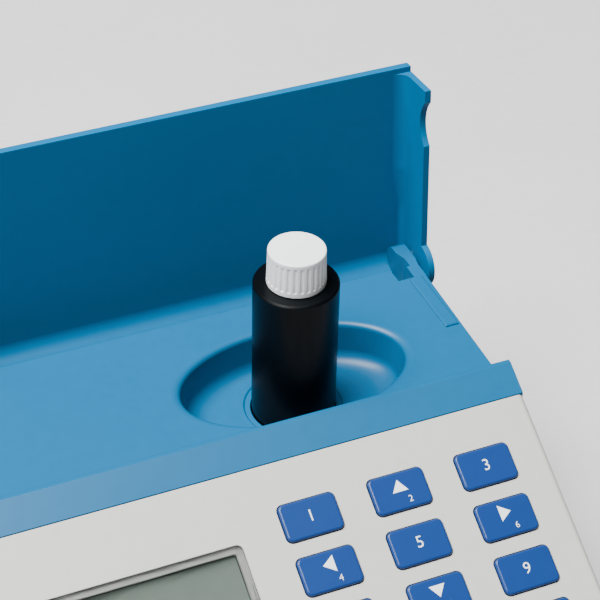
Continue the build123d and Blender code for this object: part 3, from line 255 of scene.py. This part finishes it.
def clear(name, colour, gloss, ior):
    """Glass or clear plastic."""
    material = bpy.data.materials.new(name)
    material.use_nodes = True
    tree = material.node_tree
    shader = tree.nodes["Principled BSDF"]
    shader.inputs["Base Color"].default_value = (*colour, 1.0)
    shader.inputs["IOR"].default_value = ior
    shader.inputs["Transmission Weight"].default_value = 1.0
    skin = use_group(tree, GRAIN, Grain_per_metre=CLEAR_GRAIN, Gloss=gloss, Gloss_spread=CLEAR_SPREAD)
    tree.links.new(skin.outputs["Roughness"], shader.inputs["Roughness"])
    return material


def metal(name, colour, gloss):
    """Bright plated steel with fine uneven gloss."""
    return moulded(
        name, colour, gloss, spread=METAL_SPREAD, grain=METAL_GRAIN, bump=0.02, dust=0.0, Metallic=1.0
    )


MATERIALS = {
    "blue_plastic": moulded(
        "blue moulding", (0.0, 0.098, 0.228), 0.38,
        bump=0.03, dust=0.004, wear=0.08, Specular_IOR_Level=0.35,
    ),
    "grey_plastic": moulded("warm grey moulding", (0.50, 0.50, 0.475), 0.48, bump=0.10, dust=0.02),
    "key_plastic": moulded(
        "deep blue key", (0.006, 0.037, 0.165), 0.30,
        bump=0.02, dust=0.01, wear=0.15, Specular_IOR_Level=0.35,
    ),
    "black_plastic": moulded(
        "black acetal", (0.0010, 0.0017, 0.0025), 0.34,
        bump=0.02, dust=0.0, wear=0.1, Specular_IOR_Level=0.12,
    ),
    "white_plastic": moulded("white cap", (0.88, 0.90, 0.92), 0.38, bump=0.02, dust=0.0),
    "clear_window": clear("acrylic window", (0.95, 0.97, 0.97), 0.04, 1.49),
    "display_glass": moulded(
        "display glass", (0.20, 0.24, 0.21), 0.12, spread=0.02, bump=0.0, dust=0.0
    ),
    "vial_glass": clear("vial glass", (0.96, 0.99, 0.98), 0.03, 1.47),
    "liner": moulded("cap liner", (0.75, 0.75, 0.72), 0.6, dust=0.0),
    "silicone": moulded("silicone mat", (0.22, 0.23, 0.25), 0.6),
    "foam": moulded("black foam", (0.02, 0.02, 0.02), 0.9, grain=1200.0, bump=0.3),
    "rubber": moulded("black rubber", (0.015, 0.015, 0.015), 0.7, grain=1800.0, bump=0.15),
    "circuit_board": moulded("solder mask", (0.01, 0.12, 0.04), 0.3, dust=0.0),
    "steel": metal("plated steel", (0.62, 0.62, 0.64), 0.28),
    "backlight_plastic": moulded("light plate", (0.8, 0.82, 0.8), 0.4, dust=0.0),
    "battery_wrap": moulded("battery film", (0.03, 0.08, 0.2), 0.35, dust=0.0),
    "led_resin": moulded("lamp resin", (0.7, 0.65, 0.5), 0.15, dust=0.0),
    "filter_glass": moulded(
        "coated filter", (0.3, 0.08, 0.35), 0.08, spread=0.02, dust=0.0, Metallic=0.6
    ),
    "flex_film": moulded("cable film", (0.35, 0.14, 0.02), 0.3, dust=0.0),
}
# Lighter copy of the blue moulding for the lid: painted light that raises the colour of the lid's
# inner face, which gets less of the overhead light than the deck. Its lower specular level damps the
# highlight on the lid's rounded back edge.
PAINTED_LIGHT_LID_BLUE = moulded(
    "lid blue, painted lighter", (0.0, 0.116, 0.268), 0.42,
    bump=0.03, dust=0.004, wear=0.08, Specular_IOR_Level=0.12,
)
LEGEND = moulded("key legend print", (0.78, 0.84, 0.90), 0.5, dust=0.0)
SEGMENT = moulded("display segment", (0.015, 0.02, 0.02), 0.3, dust=0.0)
FLOOR = moulded(
    "pale floor", (0.62, 0.62, 0.62), 0.6, spread=0.02, grain=900.0, bump=0.01, dust=0.0
)


def dress_nodes():
    """Give each CAD node the material of its slot; the lid instead gets a lighter copy of the blue,
    painted light on its shaded inner face.
    """
    slot_of = {row["node"]: row["material_slot"] for row in frame["record"]["subparts"]}
    for name, node in frame["nodes"].items():
        node.data.materials.clear()
        node.data.materials.append(PAINTED_LIGHT_LID_BLUE if name == "lid" else MATERIALS[slot_of[name]])


# Placing things on the slope
def on_slope(u, v, lift):
    """Matrix of a place on the slope: u across, v down from its top edge, lift above its face."""
    down = Vector((0.0, -math.cos(SLOPE), -math.sin(SLOPE)))
    out = Vector((0.0, -math.sin(SLOPE), math.cos(SLOPE)))
    place = SLOPE_TOP + Vector((u, 0.0, 0.0)) + down * v + out * lift
    return Matrix.Translation(place) @ Matrix.Rotation(SLOPE, 4, "X")


def slope_place(node):
    """Across and down places of the middle of a node that lies on the slope."""
    low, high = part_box(node)
    middle = (Vector(low) + Vector(high)) / 2
    away = middle - SLOPE_TOP
    return middle.x, -(away.y * math.cos(SLOPE) + away.z * math.sin(SLOPE))


# Print: a figure's height as a share of its font's size, and the steps of its curves
FIGURE_SHARE = 0.7
FIGURE_STEPS = 3


def add_piece(name, mesh, body, material, place):
    """Link a mesh as a piece that rides on a body."""
    mesh.transform(place)
    mesh.materials.clear()
    mesh.materials.append(material)
    piece = bpy.data.objects.new(name, mesh)
    bpy.context.scene.collection.objects.link(piece)
    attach(piece, body)
    return piece


def figure_mesh(text, height):
    """Thin mesh of a few figures, centred, of a given height."""
    curve = bpy.data.curves.new("figure", "FONT")
    curve.body = text
    curve.size = height / FIGURE_SHARE
    curve.align_x = "CENTER"
    curve.align_y = "CENTER"
    curve.resolution_u = FIGURE_STEPS
    curve.extrude = PRINT_DEPTH / 2
    holder = bpy.data.objects.new("figure", curve)
    mesh = bpy.data.meshes.new_from_object(holder)
    bpy.data.objects.remove(holder)
    return mesh


def plate_mesh(points):
    """Thin flat plate with the given outline."""
    mesh = bpy.data.meshes.new("plate")
    shape = bmesh.new()
    low = [shape.verts.new((x, y, -PRINT_DEPTH / 2)) for x, y in points]
    high = [shape.verts.new((x, y, PRINT_DEPTH / 2)) for x, y in points]
    shape.faces.new(high)
    shape.faces.new(list(reversed(low)))
    count = len(points)
    for i in range(count):
        j = (i + 1) % count
        shape.faces.new((low[i], low[j], high[j], high[i]))
    shape.to_mesh(mesh)
    shape.free()
    return mesh


# Key legends: plain figures, and arrows on the four direction keys
ARROW_W = 4.9 * MM
ARROW_H = 3.6 * MM
ARROW_TURN = {2: 0.0, 4: 90.0, 6: -90.0, 8: 180.0}
ARROW_DROP = 1.3 * MM
BIG_FIGURE = 3.4 * MM
SMALL_FIGURE = 1.9 * MM
SMALL_SHIFT = (2.2 * MM, -3.2 * MM)
DIRECT_FIGURES = ["1", "2", "3", "4", "5", "6", "7", "8", "9", ".", "0", "-"]


def arrow_mesh(turn):
    """Solid triangle pointing up, turned in its plane."""
    points = [(-ARROW_W / 2, -ARROW_H / 2), (ARROW_W / 2, -ARROW_H / 2), (0.0, ARROW_H / 2)]
    mesh = plate_mesh(points)
    mesh.transform(Matrix.Rotation(math.radians(turn), 4, "Z"))
    return mesh


def add_key_legends():
    """Print on every key."""
    lift = KEY_PROUD + PRINT_LIFT
    for index, figure in enumerate(DIRECT_FIGURES, start=1):
        node = f"key_{index}"
        u, v = slope_place(node)
        if index in ARROW_TURN:
            place = on_slope(u, v - ARROW_DROP, lift)
            arrow = arrow_mesh(ARROW_TURN[index])
            add_piece(f"{node}_arrow", arrow, node, LEGEND, place)
            place = on_slope(u + SMALL_SHIFT[0], v - SMALL_SHIFT[1], lift)
            height = SMALL_FIGURE
        else:
            place = on_slope(u, v, lift)
            height = BIG_FIGURE
        printed = figure_mesh(figure, height)
        add_piece(f"{node}_figure", printed, node, LEGEND, place)


# Seven-segment figures on the display, whose glass lies under the panel's face
DISPLAY_SINK = 4.0 * MM
FIGURE_H = 22.0 * MM
FIGURE_W = 12.0 * MM
STROKE = 2.2 * MM
STROKE_GAP = 0.4 * MM
FIGURE_COUNT = 3
FIGURE_PITCH = 17.0 * MM
ZERO_STROKES = "abcdef"


def stroke_points(length):
    """Outline of one pointed stroke, lying along X."""
    half = length / 2 - STROKE_GAP
    edge = STROKE / 2
    return [
        (-half, 0), (-half + edge, -edge), (half - edge, -edge),
        (half, 0), (half - edge, edge), (-half + edge, edge),
    ]


def add_display_figures():
    """Dark strokes of the figures 0.00 on the display glass."""
    u, v = slope_place("display_module")
    lift = PRINT_LIFT - DISPLAY_SINK
    half = FIGURE_H / 4
    spots = {
        "a": (0, 2 * half, 0), "d": (0, -2 * half, 0),
        "f": (-FIGURE_W / 2, half, 90), "b": (FIGURE_W / 2, half, 90),
        "e": (-FIGURE_W / 2, -half, 90), "c": (FIGURE_W / 2, -half, 90),
    }
    for index in range(FIGURE_COUNT):
        centre = u + (index - (FIGURE_COUNT - 1) / 2) * FIGURE_PITCH
        for segment in ZERO_STROKES:
            x, y, turn = spots[segment]
            length = FIGURE_H / 2 if turn else FIGURE_W
            mesh = plate_mesh(stroke_points(length))
            turned = Matrix.Rotation(math.radians(turn), 4, "Z")
            mesh.transform(Matrix.Translation((x, y, 0)) @ turned)
            add_piece(
                f"display_stroke_{index}_{segment}", mesh, "housing", SEGMENT,
                on_slope(centre, v, lift),
            )
    dot = STROKE / 2
    mesh = plate_mesh([(-dot, -dot), (dot, -dot), (dot, dot), (-dot, dot)])
    place = on_slope(u - FIGURE_PITCH / 2, v + FIGURE_H / 2, lift)
    add_piece("display_point", mesh, "housing", SEGMENT, place)


# Floor, lights and camera: the surround lights dimly, and is seen pale behind the floor.
# The floor gives back less light than it shows, so that the sides of the cap stay shaded.
FLOOR_GIVEN_BACK = (0.22, 0.22, 0.22, 1.0)
SURROUND = 0.06
BACKDROP = 0.9
SURROUND_TINT = (0.80, 0.90, 1.0, 1.0)
FLOOR_HALF = 1.6
OVERHEAD_PLACE = (-0.68, 0.03, 2.02)
OVERHEAD_TARGET = (0.0, 0.05, 0.08)
OVERHEAD_SIZE = 1.40
OVERHEAD_WATTS = 176.0
FILL_PLACE = (-1.1, -0.5, 0.6)
FILL_TARGET = (0.0, 0.0, 0.08)
FILL_SIZE = 0.8
FILL_WATTS = 0.4


def calm_floor():
    """Darker floor for the light that it gives back than for the eye."""
    tree = FLOOR.node_tree
    shader = tree.nodes["Principled BSDF"]
    shown = shader.inputs["Base Color"].links[0].from_socket
    seen = tree.nodes.new("ShaderNodeLightPath").outputs["Is Camera Ray"]
    unseen = math_node(tree, "SUBTRACT", 1.0, seen)
    tree.links.new(blend_into(tree, shown, FLOOR_GIVEN_BACK, unseen), shader.inputs["Base Color"])


def add_floor():
    """Plain pale floor."""
    calm_floor()
    mesh = bpy.data.meshes.new("floor")
    shape = bmesh.new()
    bmesh.ops.create_grid(shape, x_segments=2, y_segments=2, size=FLOOR_HALF)
    shape.to_mesh(mesh)
    shape.free()
    mesh.materials.append(FLOOR)
    floor = bpy.data.objects.new("floor", mesh)
    bpy.context.scene.collection.objects.link(floor)


def add_area(name, place, target, size, watts):
    """Soft square light looking at a target."""
    light = bpy.data.lights.new(name, "AREA")
    light.shape = "SQUARE"
    light.size = size
    light.energy = watts
    lamp = bpy.data.objects.new(name, light)
    lamp.location = Vector(place)
    aim = Vector(target) - Vector(place)
    lamp.rotation_euler = aim.to_track_quat("-Z", "Y").to_euler()
    bpy.context.scene.collection.objects.link(lamp)


def add_light():
    """Large soft light overhead on the left, a faint one in front, and a pale surround."""
    add_area("overhead", OVERHEAD_PLACE, OVERHEAD_TARGET, OVERHEAD_SIZE, OVERHEAD_WATTS)
    add_area("left fill", FILL_PLACE, FILL_TARGET, FILL_SIZE, FILL_WATTS)
    world = bpy.data.worlds.new("surround")
    world.use_nodes = True
    tree = world.node_tree
    seen = tree.nodes.new("ShaderNodeLightPath").outputs["Is Camera Ray"]
    backdrop = math_node(tree, "MULTIPLY", seen, BACKDROP - SURROUND)
    strength = math_node(tree, "ADD", backdrop, SURROUND)
    tree.nodes["Background"].inputs["Color"].default_value = SURROUND_TINT
    tree.links.new(strength, tree.nodes["Background"].inputs["Strength"])
    bpy.context.scene.world = world


def add_camera():
    """Camera as in the photograph."""
    back = Vector(
        (
            math.sin(CAMERA_AZIMUTH) * math.cos(CAMERA_ELEVATION),
            -math.cos(CAMERA_AZIMUTH) * math.cos(CAMERA_ELEVATION),
            math.sin(CAMERA_ELEVATION),
        )
    )
    right = (-back).cross(Vector((0, 0, 1))).normalized()
    up = right.cross(-back)
    turned_right = right * math.cos(CAMERA_ROLL) + up * math.sin(CAMERA_ROLL)
    turned_up = up * math.cos(CAMERA_ROLL) - right * math.sin(CAMERA_ROLL)
    data = bpy.data.cameras.new("camera")
    data.lens = CAMERA_LENS
    data.sensor_width = CAMERA_SENSOR
    data.clip_start = CAMERA_NEAR
    camera = bpy.data.objects.new("camera", data)
    turn = Matrix((turned_right, turned_up, back)).transposed().to_4x4()
    camera.matrix_world = Matrix.Translation(CAMERA_PLACE) @ turn
    bpy.context.scene.collection.objects.link(camera)
    bpy.context.scene.camera = camera


dress_nodes()
add_key_legends()
add_display_figures()
add_floor()
add_light()
add_camera()
